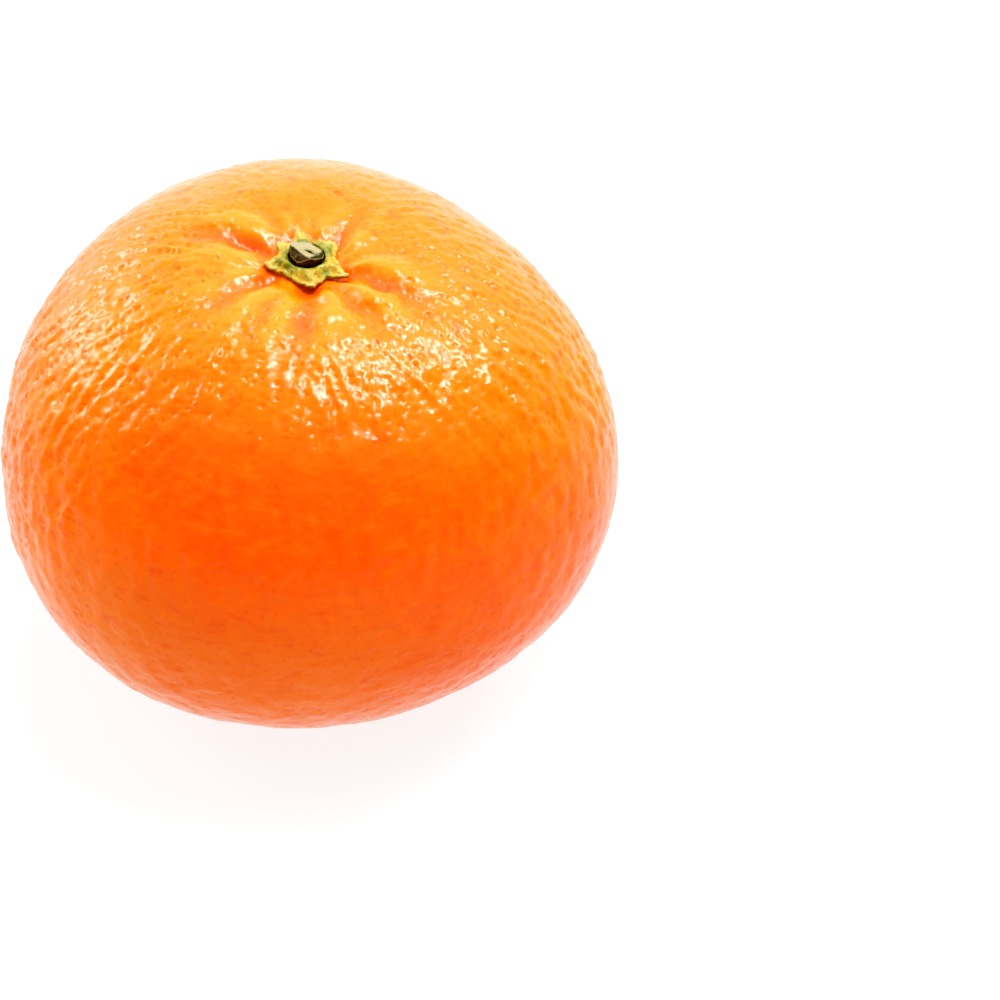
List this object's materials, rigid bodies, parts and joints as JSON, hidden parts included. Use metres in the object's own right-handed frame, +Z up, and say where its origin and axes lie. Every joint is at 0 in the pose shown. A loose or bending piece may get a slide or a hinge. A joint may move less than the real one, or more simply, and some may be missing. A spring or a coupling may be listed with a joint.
{
  "type": "mandarin",
  "caption": "Whole ripe mandarin with a furrowed stem hollow, a star-shaped calyx and a short cut stem, resting on a small flat at its blossom end.",
  "frame": {"origin": "on the surface it rests on, under the middle of its bounding box", "axes": "+Z up through the stem end, +X to the right and +Y away from a viewer who faces its front"},
  "size_m": [0.0648, 0.065, 0.0523],
  "materials": {
    "peel": "waxy orange peel with fine oil-gland pits, yellower round the stem and redder on the flanks",
    "calyx": "dry green sepals that turn straw yellow towards their tips",
    "stem": "dark woody bark with a pale cut face"
  },
  "bodies": {
    "root": {"fruit": "peel", "calyx": "calyx", "stem_stub": "stem"}
  },
  "joints": []
}
